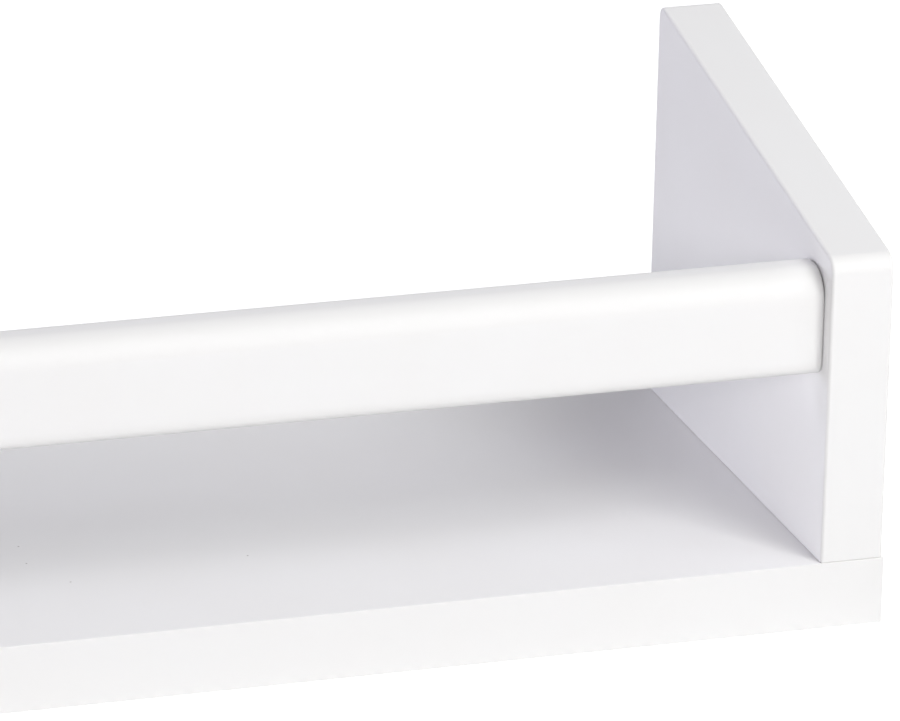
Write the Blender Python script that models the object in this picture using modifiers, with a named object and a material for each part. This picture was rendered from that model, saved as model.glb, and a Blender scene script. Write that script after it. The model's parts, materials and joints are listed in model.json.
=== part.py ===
"""Wall-hung book ledge in white lacquered board, at real size in metres with +Z up.

A shelf board carries a tapered end panel at each end, and a rounded rail runs between the two panels
at the front. Screws and dowels hold the boards together, and a keyhole plate let into the back edge of
each end panel hangs the ledge on two wall screws. The origin lies under the middle of the board: +X runs
along the ledge to the right, -Y is the front and +Y faces the wall.
"""

import math

import bmesh
import bpy

# Shelf board
LEDGE_LENGTH = 0.600
LEDGE_DEPTH = 0.120
BOARD_THICKNESS = 0.016
BOARD_EDGE_RADIUS = 0.0006

# End panels, with heights above the board
PANEL_THICKNESS = 0.015
PANEL_FRONT_HEIGHT = 0.073
PANEL_BACK_HEIGHT = 0.097
PANEL_END_INSET = 0.0005
PANEL_CORNER_RADIUS = 0.0033
PANEL_EDGE_RADIUS = 0.0016
PANEL_FOOT_RADIUS = 0.0005

# Front rail, set back from the panels' front edges and dropped below their front height
RAIL_DEPTH = 0.015
RAIL_HEIGHT = 0.0252
RAIL_TOP_RADIUS = 0.0065
RAIL_BOTTOM_RADIUS = 0.003
RAIL_END_RADIUS = 0.001
RAIL_SETBACK = 0.0038
RAIL_TOP_DROP = 0.0035
RAIL_END_GAP = 0.0004

# Gap between pieces that touch, and how far a cutter reaches past a face that it opens
FIT = 0.0003
CUT_BREAK = 0.0015

# Fluted dowels, with the length that sits in the first of the two pieces they join
DOWEL_DIAMETER = 0.006
DOWEL_LENGTH = 0.030
DOWEL_SEAT = 0.009
DOWEL_CHAMFER = 0.001
DOWEL_FLUTES = 12
DOWEL_FLUTE_DEPTH = 0.00025
PANEL_DOWEL_MARGIN = 0.021

# Countersunk screws from below into the end panels
PANEL_SCREW_DIAMETER = 0.004
PANEL_SCREW_LENGTH = 0.040
PANEL_SCREW_HEAD = 0.008
PANEL_SCREW_SINK = 0.0004
PANEL_SCREW_MARGIN = 0.041

# Pan head screws through the end panels into the rail's ends, paired with a dowel below
RAIL_SCREW_DIAMETER = 0.0045
RAIL_SCREW_LENGTH = 0.038
RAIL_SCREW_HEAD = 0.0085
RAIL_SCREW_HEAD_HEIGHT = 0.003
RAIL_SCREW_CROWN = 0.0008
RAIL_FIXING_SPACING = 0.011

# Hexagon sockets and the rim of a countersunk head
SOCKET_WIDTH = 0.003
SOCKET_DEPTH = 0.0018
HEAD_RIM = 0.0003

# Cover caps over the rail screws
CAP_DIAMETER = 0.012
CAP_RIM = 0.0005
CAP_DOME = 0.0009
CAP_STEM = 0.0018

# Keyhole plates and the screws that hold them
PLATE_LENGTH = 0.046
PLATE_RIM = 0.0015
PLATE_THICKNESS = 0.0015
PLATE_SINK = 0.0002
PLATE_TOP_MARGIN = 0.012
KEYHOLE_ENTRY = 0.007
KEYHOLE_SLOT = 0.0038
KEYHOLE_TRAVEL = 0.009
KEYHOLE_DROP = 0.004
KEYHOLE_HEAD_ROOM = 0.006
PLATE_SCREW_DIAMETER = 0.003
PLATE_SCREW_LENGTH = 0.014
PLATE_SCREW_HEAD = 0.0056
PLATE_SCREW_END = 0.0055
CROSS_SPAN = 0.003
CROSS_WIDTH = 0.0009
CROSS_DEPTH = 0.001

# Smoothness
CORNER_SEGMENTS = 6
EDGE_SEGMENTS = 3
RAIL_SEGMENTS = 8
ARC_STEPS = 8
TURN_STEPS = 20
SMALL_TURN_STEPS = 16
DOME_STEPS = 4
SMOOTH_ANGLE = math.radians(35)
SHARP_EDGE = math.radians(40)
WELD = 0.000001
FILLET_SHARE = 0.45

# Planes and centres that follow from the sizes above
SIDES = {"left": -1, "right": 1}
FRONT = -LEDGE_DEPTH / 2
BACK = LEDGE_DEPTH / 2
PANEL_FOOT = BOARD_THICKNESS + FIT
PANEL_OUTER = LEDGE_LENGTH / 2 - PANEL_END_INSET
PANEL_CENTRE = PANEL_OUTER - PANEL_THICKNESS / 2
PANEL_INNER = PANEL_OUTER - PANEL_THICKNESS
RAIL_TOP = PANEL_FOOT + PANEL_FRONT_HEIGHT - RAIL_TOP_DROP
RAIL_MIDDLE = RAIL_TOP - RAIL_HEIGHT / 2
RAIL_CENTRE = FRONT + RAIL_SETBACK + RAIL_DEPTH / 2
RAIL_END = PANEL_INNER - RAIL_END_GAP
RAIL_SCREW_LEVEL = RAIL_MIDDLE + RAIL_FIXING_SPACING / 2
RAIL_DOWEL_LEVEL = RAIL_MIDDLE - RAIL_FIXING_SPACING / 2
RAIL_SCREW_FACE = PANEL_OUTER - CAP_STEM
PLATE_WIDTH = KEYHOLE_ENTRY + 2 * PLATE_RIM
PLATE_CENTRE = PANEL_FOOT + PANEL_BACK_HEIGHT - PLATE_TOP_MARGIN - PLATE_LENGTH / 2
PLATE_FACE = BACK - PLATE_SINK
POCKET_FLOOR = PLATE_FACE - PLATE_THICKNESS - FIT

# Turns that point a piece's +Z to the underside, to the wall, or out of an end
TO_UNDERSIDE = (math.pi, 0, 0)
TO_WALL = (-math.pi / 2, 0, 0)
TO_END = {side: (0, sign * math.pi / 2, 0) for side, sign in SIDES.items()}


class Workbench:
    """The collections and the empty that the ledge's pieces and their cutters are added to."""

    def __init__(self, name):
        for old in list(bpy.data.objects):
            bpy.data.objects.remove(old, do_unlink=True)
        self.parts = self.collection(name)
        self.cutters = self.collection(name + "_cutters")
        self.cutters.hide_render = True
        self.empty = bpy.data.objects.new(name + "_origin", None)
        self.parts.objects.link(self.empty)

    @staticmethod
    def collection(name):
        """A new collection in the scene."""
        made = bpy.data.collections.new(name)
        bpy.context.scene.collection.children.link(made)
        return made

    def part(self, name, mesh, material, location, rotation=(0, 0, 0)):
        """A named piece of the ledge, with its finish and its place."""
        piece = bpy.data.objects.new(name, mesh)
        self.parts.objects.link(piece)
        if not mesh.materials:
            mesh.materials.append(material)
        piece.parent = self.empty
        piece.location = location
        piece.rotation_euler = rotation
        return piece

    def cutter(self, name, mesh, location, rotation=(0, 0, 0)):
        """A wire object that Booleans cut with."""
        tool = bpy.data.objects.new(name + "_cutter", mesh)
        self.cutters.objects.link(tool)
        tool.hide_render = True
        tool.display_type = "WIRE"
        tool.location = location
        tool.rotation_euler = rotation
        return tool


def cut(tool, *pieces):
    """Take a cutter's shape out of each piece that it passes through."""
    for piece in pieces:
        boolean = piece.modifiers.new(tool.name, "BOOLEAN")
        boolean.operation = "DIFFERENCE"
        boolean.solver = "EXACT"
        boolean.object = tool


def finish(name, colour, roughness, metallic=0.0):
    """A Principled material."""
    material = bpy.data.materials.new(name)
    material.use_nodes = True
    shader = material.node_tree.nodes["Principled BSDF"]
    shader.inputs["Base Color"].default_value = (*colour, 1.0)
    shader.inputs["Roughness"].default_value = roughness
    shader.inputs["Metallic"].default_value = metallic
    return material


def to_mesh(name, shape):
    """A mesh from a bmesh, smooth apart from its sharp edges."""
    mesh = bpy.data.meshes.new(name)
    shape.to_mesh(mesh)
    shape.free()
    mesh.shade_smooth()
    mesh.set_sharp_from_angle(angle=SMOOTH_ANGLE)
    return mesh


def temporary(name, data):
    """An object that exists only until it is baked."""
    made = bpy.data.objects.new(name, data)
    bpy.context.scene.collection.objects.link(made)
    return made


def baked(source):
    """The mesh of a temporary object with its modifiers applied; the object is removed."""
    evaluated = source.evaluated_get(bpy.context.evaluated_depsgraph_get())
    mesh = bpy.data.meshes.new_from_object(evaluated)
    bpy.data.objects.remove(source, do_unlink=True)
    return mesh


def block(length, depth, height):
    """A box about the origin."""
    shape = bmesh.new()
    bmesh.ops.create_cube(shape, size=1.0)
    bmesh.ops.scale(shape, vec=(length, depth, height), verts=shape.verts)
    return shape


def round_edges(shape, radius, segments, wanted):
    """Round every edge that wanted() picks."""
    edges = [edge for edge in shape.edges if wanted(edge)]
    bmesh.ops.bevel(
        shape, geom=edges, offset=radius, segments=segments, profile=0.5, affect="EDGES", clamp_overlap=True
    )


def runs_along_x(edge):
    """Whether an edge is parallel to the length of the ledge."""
    first, last = edge.verts
    across = (first.co - last.co).yz
    return across.length < WELD


def is_sharp(edge):
    """Whether an edge is still square rather than part of a rounding."""
    return edge.calc_face_angle() > SHARP_EDGE


def fillet(radius, wall):
    """A radius limited by the wall that it rounds."""
    return min(radius, FILLET_SHARE * wall)


def board_mesh():
    """The shelf board, with all its edges eased."""
    shape = block(LEDGE_LENGTH, LEDGE_DEPTH, BOARD_THICKNESS)
    round_edges(shape, fillet(BOARD_EDGE_RADIUS, BOARD_THICKNESS), EDGE_SEGMENTS, is_sharp)
    return to_mesh("bottom_board", shape)


def panel_mesh():
    """An end panel that stands on Z = 0, low in front and tall at the wall, with an almost square foot."""
    shape = block(PANEL_THICKNESS, LEDGE_DEPTH, PANEL_BACK_HEIGHT)
    bmesh.ops.translate(shape, vec=(0, 0, PANEL_BACK_HEIGHT / 2), verts=shape.verts)
    for vert in shape.verts:
        if vert.co.z > 0 and vert.co.y < 0:
            vert.co.z = PANEL_FRONT_HEIGHT

    def at_foot(edge):
        return all(vert.co.z < WELD for vert in edge.verts)

    corner = fillet(PANEL_CORNER_RADIUS, PANEL_FRONT_HEIGHT)
    rim = fillet(PANEL_EDGE_RADIUS, min(PANEL_THICKNESS, 2 * corner))
    round_edges(shape, corner, CORNER_SEGMENTS, lambda edge: runs_along_x(edge) and not at_foot(edge))
    round_edges(shape, rim, EDGE_SEGMENTS, lambda edge: is_sharp(edge) and not at_foot(edge))
    round_edges(shape, fillet(PANEL_FOOT_RADIUS, rim), 1, lambda edge: is_sharp(edge) and at_foot(edge))
    return to_mesh("end_panel", shape)


def rail_mesh():
    """The front rail: a flat bar with an almost full round top, softer lower edges and eased ends."""
    shape = block(2 * RAIL_END, RAIL_DEPTH, RAIL_HEIGHT)

    def on_top(edge):
        return all(vert.co.z > 0 for vert in edge.verts)

    wall = min(RAIL_DEPTH, RAIL_HEIGHT)
    top, bottom = fillet(RAIL_TOP_RADIUS, wall), fillet(RAIL_BOTTOM_RADIUS, wall)
    round_edges(shape, top, RAIL_SEGMENTS, lambda edge: runs_along_x(edge) and on_top(edge))
    round_edges(shape, bottom, RAIL_SEGMENTS, lambda edge: runs_along_x(edge) and is_sharp(edge))
    round_edges(shape, fillet(RAIL_END_RADIUS, bottom), EDGE_SEGMENTS, is_sharp)
    return to_mesh("front_rail", shape)


def turned(name, profile, steps):
    """A solid turned about Z from (radius, height) points that run down its outer side."""
    points = [(radius, 0.0, height) for radius, height in profile]
    outline = bpy.data.meshes.new(name)
    outline.from_pydata(points, [(end - 1, end) for end in range(1, len(points))], [])
    turning = temporary(name, outline)
    screw = turning.modifiers.new("Turn", "SCREW")
    screw.axis = "Z"
    screw.angle = 2 * math.pi
    screw.steps = steps
    screw.render_steps = steps
    screw.use_merge_vertices = True
    screw.merge_threshold = WELD
    mesh = baked(turning)
    mesh.shade_smooth()
    mesh.set_sharp_from_angle(angle=SMOOTH_ANGLE)
    return mesh


def plate(name, loops, thickness):
    """A flat solid about Z = 0 from an outline and the outlines of its holes."""
    curve = bpy.data.curves.new(name, "CURVE")
    curve.dimensions = "2D"
    curve.fill_mode = "BOTH"
    curve.extrude = thickness / 2
    for loop in loops:
        spline = curve.splines.new("POLY")
        spline.points.add(len(loop) - 1)
        spline.use_cyclic_u = True
        for point, (x, y) in zip(spline.points, loop):
            point.co = (x, y, 0.0, 1.0)
    shape = bmesh.new()
    shape.from_mesh(baked(temporary(name, curve)))
    bmesh.ops.remove_doubles(shape, verts=shape.verts, dist=WELD)
    bmesh.ops.recalc_face_normals(shape, faces=shape.faces)
    return to_mesh(name, shape)


def arc(centre, radius, start, end):
    """Points on an arc about a centre on the Y axis, from one angle to another."""
    angles = [start + (end - start) * step / ARC_STEPS for step in range(ARC_STEPS + 1)]
    return [(radius * math.cos(angle), centre + radius * math.sin(angle)) for angle in angles]


def round_slot(width, low, high):
    """The outline of an upright slot whose round ends are centred at the two heights."""
    return arc(high, width / 2, 0, math.pi) + arc(low, width / 2, math.pi, 2 * math.pi)


def keyhole():
    """A round entry for a screw's head, with a narrow slot above it for the screw's neck."""
    neck = KEYHOLE_SLOT / 2
    meets = math.acos(KEYHOLE_SLOT / KEYHOLE_ENTRY)
    slot_end = arc(KEYHOLE_TRAVEL - KEYHOLE_DROP, neck, 0, math.pi)
    return slot_end + arc(-KEYHOLE_DROP, KEYHOLE_ENTRY / 2, math.pi - meets, 2 * math.pi + meets)


def plate_outline(grow=0.0):
    """The keyhole plate's outline, with full round ends."""
    straight = (PLATE_LENGTH - PLATE_WIDTH) / 2
    return round_slot(PLATE_WIDTH + 2 * grow, -straight, straight)


def countersunk(diameter, head, length, grow=0.0, rise=0.0):
    """A countersunk screw's profile with its face at height 0, or the bore that clears it by grow."""
    neck = diameter / 2 + grow
    head_radius = head / 2 + grow
    cone_end = -HEAD_RIM - (head_radius - neck)
    return [
        (0, rise),
        (head_radius, rise),
        (head_radius, -HEAD_RIM),
        (neck, cone_end),
        (neck, diameter - length - grow),
        (0, -length - grow),
    ]


def pan_head(crown, grow=0.0, rise=0.0):
    """The rail screw's profile with its face at height 0, or the bore that clears it by grow."""
    neck = RAIL_SCREW_DIAMETER / 2 + grow
    head_radius = RAIL_SCREW_HEAD / 2 + grow
    seat = -RAIL_SCREW_HEAD_HEIGHT - grow
    return [
        (0, rise),
        (head_radius - crown, rise),
        (head_radius, rise - crown),
        (head_radius, seat),
        (neck, seat),
        (neck, seat + RAIL_SCREW_DIAMETER - RAIL_SCREW_LENGTH),
        (0, seat - RAIL_SCREW_LENGTH),
    ]


def straight_bore(diameter, length):
    """The profile of a plain cylinder about the origin."""
    return [(0, length / 2), (diameter / 2, length / 2), (diameter / 2, -length / 2), (0, -length / 2)]


def recessed(mesh, recess):
    """A screw's mesh with the driver's recess cut into its face."""
    body = temporary(mesh.name, mesh)
    tool = temporary("recess", recess)
    cut(tool, body)
    result = baked(body)
    bpy.data.objects.remove(tool, do_unlink=True)
    return result


def hexagon_recess():
    """A hexagon socket that opens at height 0."""
    shape = bmesh.new()
    corner = SOCKET_WIDTH / math.sqrt(3)
    depth = 2 * SOCKET_DEPTH
    bmesh.ops.create_cone(shape, cap_ends=True, segments=6, radius1=corner, radius2=corner, depth=depth)
    return to_mesh("hexagon_recess", shape)


def cross_recess():
    """A cross that opens at height 0: a square core with an arm drawn out of each side."""
    shape = block(CROSS_WIDTH, CROSS_WIDTH, 2 * CROSS_DEPTH)
    reach = (CROSS_SPAN - CROSS_WIDTH) / 2
    sides = [face for face in shape.faces if abs(face.normal.z) < 0.5]
    for arm in bmesh.ops.extrude_discrete_faces(shape, faces=sides)["faces"]:
        arm.normal_update()
        bmesh.ops.translate(shape, vec=arm.normal * reach, verts=arm.verts)
    return to_mesh("cross_recess", shape)


def dowel_mesh():
    """A dowel with chamfered ends, whose every second facet edge is drawn in as a flute."""
    radius = DOWEL_DIAMETER / 2
    top = DOWEL_LENGTH / 2
    tip = radius - DOWEL_CHAMFER
    shoulder = top - DOWEL_CHAMFER
    profile = [(0, top), (tip, top), (radius, shoulder), (radius, -shoulder), (tip, -top), (0, -top)]
    steps = 2 * DOWEL_FLUTES
    mesh = turned("dowel", profile, steps)
    drawn_in = 1 - DOWEL_FLUTE_DEPTH / radius
    for vert in mesh.vertices:
        facet = round(math.atan2(vert.co.y, vert.co.x) * steps / (2 * math.pi))
        if facet % 2:
            vert.co.x *= drawn_in
            vert.co.y *= drawn_in
    return mesh


def dowel_bore_mesh():
    """The hole that a dowel sits in, through both of the pieces it joins."""
    profile = straight_bore(DOWEL_DIAMETER + 2 * FIT, DOWEL_LENGTH + 2 * FIT)
    return turned("dowel_bore", profile, TURN_STEPS)


def cap_mesh():
    """A low domed cover cap that stands on Z = 0, with a stem below that plugs the screw's counterbore."""
    radius = CAP_DIAMETER / 2
    stem = RAIL_SCREW_HEAD / 2
    angles = [math.pi / 2 * step / DOME_STEPS for step in range(DOME_STEPS + 1)]
    dome = [(radius * math.sin(angle), CAP_RIM + CAP_DOME * math.cos(angle)) for angle in angles]
    underside = [(radius, 0), (stem, 0), (stem, -CAP_STEM), (0, -CAP_STEM)]
    return turned("screw_cap", dome + underside, TURN_STEPS)


def keyhole_plate_mesh():
    """The flat hanging plate with its keyhole."""
    return plate("keyhole_plate", [plate_outline(), keyhole()], PLATE_THICKNESS)


def join_panels(bench, board, panels, dowel, dowel_bore, steel, beech):
    """Screws from below and dowels between the board and each end panel."""
    sizes = (PANEL_SCREW_DIAMETER, PANEL_SCREW_HEAD, PANEL_SCREW_LENGTH)
    screw = recessed(turned("panel_screw", countersunk(*sizes), TURN_STEPS), hexagon_recess())
    bore_profile = countersunk(*sizes, FIT, PANEL_SCREW_SINK + CUT_BREAK)
    screw_bore = turned("panel_screw_bore", bore_profile, TURN_STEPS)
    dowel_level = BOARD_THICKNESS - DOWEL_SEAT + DOWEL_LENGTH / 2
    for side, sign in SIDES.items():
        for end, edge, inward in (("front", FRONT, 1), ("back", BACK, -1)):
            name = f"{side}_{end}"
            screw_place = (sign * PANEL_CENTRE, edge + inward * PANEL_SCREW_MARGIN, PANEL_SCREW_SINK)
            dowel_place = (sign * PANEL_CENTRE, edge + inward * PANEL_DOWEL_MARGIN, dowel_level)
            bench.part("panel_screw_" + name, screw, steel, screw_place, TO_UNDERSIDE)
            bench.part("panel_dowel_" + name, dowel, beech, dowel_place)
            screw_cutter = bench.cutter("panel_screw_" + name, screw_bore, screw_place, TO_UNDERSIDE)
            dowel_cutter = bench.cutter("panel_dowel_" + name, dowel_bore, dowel_place)
            cut(screw_cutter, board, panels[side])
            cut(dowel_cutter, board, panels[side])


def join_rail(bench, rail, panels, dowel, dowel_bore, steel, beech, plastic):
    """A capped screw and a dowel between each end panel and the rail."""
    screw = recessed(turned("rail_screw", pan_head(RAIL_SCREW_CROWN), TURN_STEPS), hexagon_recess())
    screw_bore = turned("rail_screw_bore", pan_head(0, FIT, CAP_STEM + CUT_BREAK), TURN_STEPS)
    cap = cap_mesh()
    dowel_centre = PANEL_INNER + DOWEL_SEAT - DOWEL_LENGTH / 2
    for side, sign in SIDES.items():
        turn = TO_END[side]
        screw_place = (sign * RAIL_SCREW_FACE, RAIL_CENTRE, RAIL_SCREW_LEVEL)
        dowel_place = (sign * dowel_centre, RAIL_CENTRE, RAIL_DOWEL_LEVEL)
        cap_place = (sign * (PANEL_OUTER + FIT), RAIL_CENTRE, RAIL_SCREW_LEVEL)
        bench.part("rail_screw_" + side, screw, steel, screw_place, turn)
        bench.part("rail_dowel_" + side, dowel, beech, dowel_place, turn)
        bench.part("screw_cap_" + side, cap, plastic, cap_place, turn)
        cut(bench.cutter("rail_screw_" + side, screw_bore, screw_place, turn), panels[side], rail)
        cut(bench.cutter("rail_dowel_" + side, dowel_bore, dowel_place, turn), panels[side], rail)


def hang(bench, panels, steel, zinc):
    """A keyhole plate let into each end panel's back edge, with room in it for the wall screw's head."""
    hanger = keyhole_plate_mesh()
    sizes = (PLATE_SCREW_DIAMETER, PLATE_SCREW_HEAD, PLATE_SCREW_LENGTH)
    screw = recessed(turned("plate_screw", countersunk(*sizes), SMALL_TURN_STEPS), cross_recess())
    screw_bore = turned("plate_screw_bore", countersunk(*sizes, FIT, CUT_BREAK), SMALL_TURN_STEPS)
    pocket_depth = BACK + CUT_BREAK - POCKET_FLOOR
    pocket = plate("plate_pocket", [plate_outline(FIT)], pocket_depth)
    head_room_depth = KEYHOLE_HEAD_ROOM + CUT_BREAK
    head_room_outline = round_slot(KEYHOLE_ENTRY + 2 * FIT, -KEYHOLE_DROP, KEYHOLE_TRAVEL - KEYHOLE_DROP)
    head_room = plate("head_room", [head_room_outline], head_room_depth)
    upright = (math.pi / 2, 0, 0)
    screw_offset = PLATE_LENGTH / 2 - PLATE_SCREW_END
    for side, sign in SIDES.items():
        x = sign * PANEL_CENTRE
        plate_place = (x, PLATE_FACE - PLATE_THICKNESS / 2, PLATE_CENTRE)
        pocket_place = (x, POCKET_FLOOR + pocket_depth / 2, PLATE_CENTRE)
        room_place = (x, POCKET_FLOOR + CUT_BREAK - head_room_depth / 2, PLATE_CENTRE)
        mounted = bench.part("keyhole_plate_" + side, hanger, zinc, plate_place, upright)
        cut(bench.cutter("plate_pocket_" + side, pocket, pocket_place, upright), panels[side])
        cut(bench.cutter("head_room_" + side, head_room, room_place, upright), panels[side])
        for end, way in (("upper", 1), ("lower", -1)):
            name = f"plate_screw_{side}_{end}"
            place = (x, PLATE_FACE, PLATE_CENTRE + way * screw_offset)
            bench.part(name, screw, steel, place, TO_WALL)
            cut(bench.cutter(name, screw_bore, place, TO_WALL), mounted, panels[side])


def build():
    """The whole ledge."""
    bench = Workbench("book_ledge")
    lacquer = (0.87, 0.87, 0.865)
    steel = finish("zinc_plated_screw", (0.72, 0.73, 0.74), 0.35, 1.0)
    zinc = finish("zinc_plated_plate", (0.68, 0.69, 0.70), 0.40, 1.0)
    beech = finish("beech_dowel", (0.67, 0.47, 0.29), 0.65)
    plastic = finish("white_cap_plastic", (0.84, 0.84, 0.83), 0.40)
    board = bench.part(
        "bottom_board", board_mesh(), finish("board_lacquer", lacquer, 0.42), (0, 0, BOARD_THICKNESS / 2)
    )
    panel = panel_mesh()
    panel_lacquer = finish("end_panel_lacquer", lacquer, 0.42)
    panels = {
        side: bench.part("end_panel_" + side, panel, panel_lacquer, (sign * PANEL_CENTRE, 0, PANEL_FOOT))
        for side, sign in SIDES.items()
    }
    rail = bench.part(
        "front_rail", rail_mesh(), finish("rail_lacquer", lacquer, 0.38), (0, RAIL_CENTRE, RAIL_MIDDLE)
    )
    dowel = dowel_mesh()
    dowel_bore = dowel_bore_mesh()
    join_panels(bench, board, panels, dowel, dowel_bore, steel, beech)
    join_rail(bench, rail, panels, dowel, dowel_bore, steel, beech, plastic)
    hang(bench, panels, steel, zinc)


build()
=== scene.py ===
"""Looks of a white lacquered wall book ledge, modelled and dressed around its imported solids.

Everything lies in the solids' own frame, in metres: +X runs along the ledge to the right, -Y faces the room,
+Y faces the wall and +Z is up. Each piece takes its place and its size from the solid that it stands for, and
adds what the solid leaves out: finely rounded edges, screw threads and the finish of every surface.
"""

import json
import logging
import math
from abc import ABC, abstractmethod
from collections.abc import Callable, Iterator, Sequence
from contextlib import contextmanager
from dataclasses import dataclass
from enum import Enum
from functools import cache

import bmesh
import bpy
from bmesh.types import BMEdge, BMVert
from bpy.types import Material, Node, NodeSocket, NodeTree, Object
from mathutils import Euler, Matrix, Vector


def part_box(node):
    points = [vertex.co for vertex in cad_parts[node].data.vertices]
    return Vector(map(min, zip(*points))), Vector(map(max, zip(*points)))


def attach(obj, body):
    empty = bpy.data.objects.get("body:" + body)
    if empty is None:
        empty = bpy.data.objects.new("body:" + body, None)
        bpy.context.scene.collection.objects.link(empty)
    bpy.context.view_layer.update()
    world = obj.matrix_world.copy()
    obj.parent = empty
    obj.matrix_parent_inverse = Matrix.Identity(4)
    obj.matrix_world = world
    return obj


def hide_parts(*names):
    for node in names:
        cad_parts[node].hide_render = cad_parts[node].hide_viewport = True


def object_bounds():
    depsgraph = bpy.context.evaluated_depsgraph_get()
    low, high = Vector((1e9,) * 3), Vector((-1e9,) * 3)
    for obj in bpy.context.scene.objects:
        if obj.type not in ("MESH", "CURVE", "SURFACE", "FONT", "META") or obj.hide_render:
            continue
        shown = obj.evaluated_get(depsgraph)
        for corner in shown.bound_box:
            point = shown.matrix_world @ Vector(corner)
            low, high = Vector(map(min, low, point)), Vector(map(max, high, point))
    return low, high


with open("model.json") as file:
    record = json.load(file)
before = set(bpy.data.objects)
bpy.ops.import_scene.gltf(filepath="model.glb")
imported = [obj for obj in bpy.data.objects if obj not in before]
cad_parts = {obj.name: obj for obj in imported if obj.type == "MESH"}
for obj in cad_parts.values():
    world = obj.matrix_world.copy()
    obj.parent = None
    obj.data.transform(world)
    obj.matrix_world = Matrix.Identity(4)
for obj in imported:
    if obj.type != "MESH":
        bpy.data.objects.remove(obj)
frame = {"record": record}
CAD_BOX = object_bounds()

LOG = logging.getLogger("book_ledge")
BODY = "root"
ROUNDING = "rounding"

# Lengths: the gap round fitted pieces, a cutter's reach past a face, and how near counts as the same place
CLEARANCE = 0.0003
CUT_BREAK = 0.0015
SAME_PLACE = 0.00001

# Angles: up to which edges are shaded smooth, past which they are square, and up to which a face is flat
SMOOTH_ANGLE = math.radians(32)
SQUARE_EDGE = math.radians(40)
FLAT_ANGLE = math.radians(2)
FLAT_FACE_WEIGHT = 100

# Facets around a turned piece, and along one turn of a thread
ROUND_SIDES = 48
THREAD_SIDES = 24

# A triangle with a radius of 1, which a thread's section is stretched from
TRIANGLE_SIDES = 3
TRIANGLE_HEIGHT = 1.5
TRIANGLE_HALF_BASE = math.sin(math.pi / 3)

ORIGIN = (0.0, 0.0, 0.0)
AXES = tuple(Vector(axis) for axis in Matrix.Identity(3))

# Words in the names of solids
ROWS = ("front", "back")
LEVELS = ("upper", "lower")

# Span that most of a noise lies in, share of slow ripples in a sprayed skin, and scale of streaks along Z
NOISE_SPAN = (0.3, 0.7)
RIPPLE_SHARE = 0.65
STREAK_SCALE = (1.0, 1.0, 0.06)
WHITE = (1.0, 1.0, 1.0, 1.0)

Profile = list[tuple[float, float]]
Colour = tuple[float, float, float]
Inputs = dict[str | int, object]


class Side(Enum):
    """The two ends of the ledge, with the sign of X there."""

    LEFT = -1
    RIGHT = 1

    @property
    def word(self) -> str:
        """The end's word in the names of solids."""
        return self.name.lower()


class Facing(Enum):
    """Ways that a fitting's face can look, as the turn that takes +Z there."""

    DOWN = (math.pi, 0.0, 0.0)
    WALL = (math.pi / 2, 0.0, math.pi)
    LEFT = (0.0, -math.pi / 2, 0.0)
    RIGHT = (0.0, math.pi / 2, 0.0)


class Head(Enum):
    """Forms of a screw's head."""

    COUNTERSUNK = "countersunk"
    PAN = "pan"


class Drive(Enum):
    """Recesses that a screw is driven by."""

    HEXAGON = "hexagon"
    CROSS = "cross"


class Element(Enum):
    """What is picked in edit mode."""

    VERT = "VERT"
    EDGE = "EDGE"
    FACE = "FACE"


class Change(Enum):
    """Ways that the shape of a tool changes a piece."""

    ADD = "UNION"
    TAKE_OUT = "DIFFERENCE"


# Modelling tools


def only(piece: Object) -> None:
    """Make a piece the one selected object, and the active one.

    Args:
        piece: The piece to select.
    """
    bpy.ops.object.select_all(action="DESELECT")
    piece.select_set(True)
    bpy.context.view_layer.objects.active = piece


@contextmanager
def editing(piece: Object, elements: Element) -> Iterator[None]:
    """Open a piece in edit mode with nothing picked, and leave edit mode at the end.

    Args:
        piece: The piece to edit.
        elements: What is picked there.

    Yields:
        Nothing, while the piece is in edit mode.
    """
    only(piece)
    bpy.ops.object.mode_set(mode="EDIT")
    bpy.ops.mesh.select_mode(type=elements.value)
    bpy.ops.mesh.select_all(action="DESELECT")
    yield
    bpy.ops.object.mode_set(mode="OBJECT")


def pick_edges(piece: Object, wanted: Callable[[BMEdge], bool]) -> None:
    """Pick the edges that a test wants, in edit mode.

    Args:
        piece: The piece in edit mode.
        wanted: The test.
    """
    for edge in bmesh.from_edit_mesh(piece.data).edges:
        if wanted(edge):
            edge.select_set(True)


def pick_verts(piece: Object, wanted: Callable[[BMVert], bool]) -> None:
    """Pick the vertices that a test wants, in edit mode.

    Args:
        piece: The piece in edit mode.
        wanted: The test.
    """
    shape = bmesh.from_edit_mesh(piece.data)
    for vert in shape.verts:
        if wanted(vert):
            vert.select_set(True)
    shape.select_flush(True)


def is_square(edge: BMEdge) -> bool:
    """Whether an edge is still square rather than part of a rounding."""
    return edge.calc_face_angle() > SQUARE_EDGE


def runs_along_x(edge: BMEdge) -> bool:
    """Whether an edge is parallel to the length of the ledge."""
    first, last = edge.verts
    return (first.co - last.co).yz.length < SAME_PLACE


def added(name: str) -> Object:
    """Name the primitive that was just added, and put its place in its mesh.

    Args:
        name: Name of the piece.

    Returns:
        The piece.
    """
    piece = bpy.context.active_object
    piece.name = piece.data.name = name
    bpy.ops.object.transform_apply(location=True, rotation=True, scale=True)
    return piece


def block(name: str, low: Vector, high: Vector) -> Object:
    """Add a box.

    Args:
        name: Name of the piece.
        low: Its lowest corner.
        high: Its highest corner.

    Returns:
        The box.
    """
    bpy.ops.object.select_all(action="DESELECT")
    bpy.ops.mesh.primitive_cube_add(size=1.0, location=(low + high) / 2)
    bpy.context.active_object.scale = high - low
    return added(name)


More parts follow.
